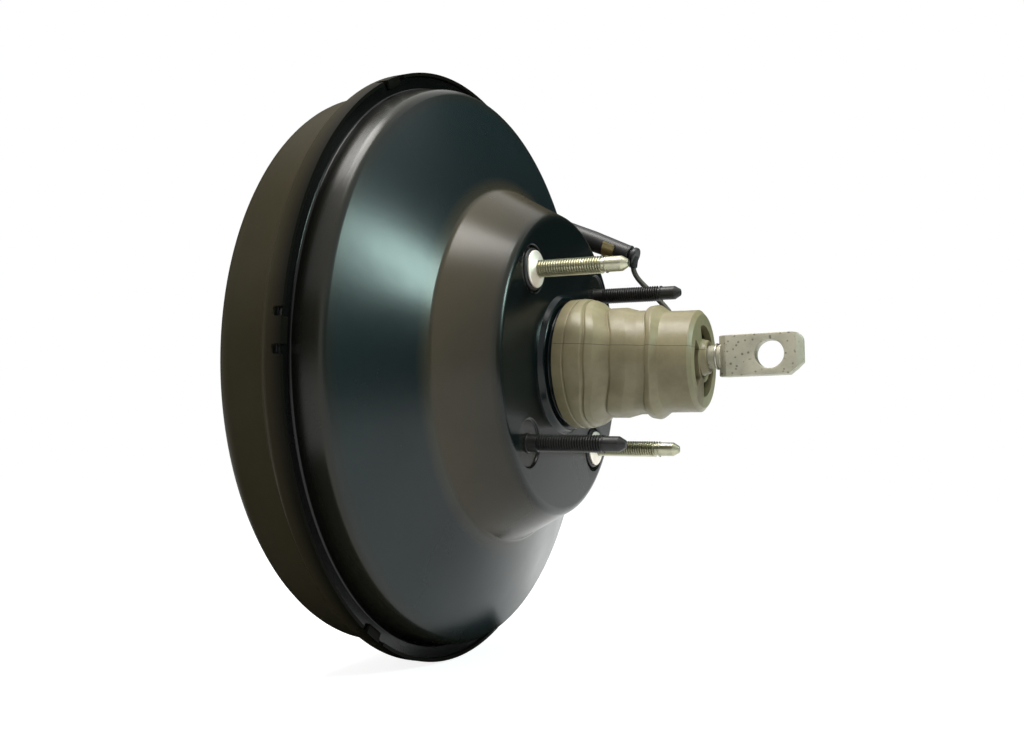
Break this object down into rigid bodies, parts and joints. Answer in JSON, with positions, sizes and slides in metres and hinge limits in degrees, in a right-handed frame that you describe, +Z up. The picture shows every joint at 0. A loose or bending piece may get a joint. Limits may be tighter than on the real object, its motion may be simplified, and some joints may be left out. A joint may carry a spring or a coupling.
{
  "type": "brake booster",
  "caption": "Vacuum brake booster: crimped steel shells, mounting studs, gaitered input rod with a flat pedal eye, moving diaphragm, valve body and output rod.",
  "frame": {"origin": "centre of the bulkhead seat, in the plane of the stud collars' outer faces, midway between the four bulkhead studs", "axes": "+X along the booster's axis towards the brake pedal, +Z up, +Y to the side of the lead"},
  "size_m": [0.2623, 0.2948, 0.2948],
  "materials": {
    "front_paint": "gloss",
    "rear_paint": "gloss",
    "zinc_plate": "satin",
    "black_oxide": "satin",
    "bare_steel": "satin",
    "forged_steel": "matt",
    "boot_rubber": "matt",
    "black_rubber": "matt",
    "phenolic": "matt",
    "nylon": "satin",
    "felt": "matt",
    "brass": "satin",
    "lead_cover": "satin"
  },
  "bodies": {
    "housing": {"front_shell": "front_paint", "check_valve_seat": "front_paint", "rear_shell": "rear_paint", "rear_reinforcement": "bare_steel", "front_reinforcement": "bare_steel", "plated_studs": "zinc_plate", "coated_studs": "black_oxide", "stud_collars": "zinc_plate", "stud_seal_rings": "black_rubber", "cylinder_studs": "bare_steel", "front_seal": "black_rubber", "front_seal_retainer": "bare_steel", "check_valve_grommet": "black_rubber", "check_valve": "nylon", "return_spring": "bare_steel", "neck_guide": "nylon", "neck_seal": "black_rubber", "boot": "boot_rubber", "lead_sleeve": "black_rubber", "lead_plug": "black_rubber", "lead_clip": "brass", "lead": "lead_cover", "lead_grommet": "black_rubber"},
    "power_piston": {"diaphragm_plate": "bare_steel", "diaphragm": "black_rubber", "valve_body": "phenolic", "stop_key": "bare_steel", "reaction_disc": "black_rubber", "output_rod": "bare_steel", "output_rod_retainer": "bare_steel", "poppet_valve": "black_rubber", "poppet_spring": "bare_steel", "poppet_retainer": "bare_steel", "input_return_spring": "bare_steel", "air_filter": "felt", "silencer": "felt"},
    "input_plunger": {"valve_plunger": "bare_steel"},
    "input_rod": {"pedal_rod": "forged_steel", "rod_spring_seat": "bare_steel", "rod_lock_ring": "bare_steel", "pedal_eye": "forged_steel"}
  },
  "joints": [
    {"name": "power_piston_travel", "type": "slide", "parent": "housing", "child": "power_piston", "axis": [-1, 0, 0], "range_m": [0, 0.038], "stiffness_N_per_m": 3000, "springref_m": -0.043, "deforming": ["return_spring", "boot", "diaphragm"]},
    {"name": "input_plunger_travel", "type": "slide", "parent": "power_piston", "child": "input_plunger", "axis": [-1, 0, 0], "range_m": [0, 0.0016], "stiffness_N_per_m": 2000, "springref_m": -0.02, "deforming": ["poppet_spring", "input_return_spring"]},
    {"name": "input_rod_tilt", "type": "hinge", "parent": "input_plunger", "child": "input_rod", "pos_m": [-0.002, 0, 0], "axis": [0, 1, 0], "range_deg": [-1.9, 4.7], "stiffness_Nm_per_rad": 5}
  ]
}
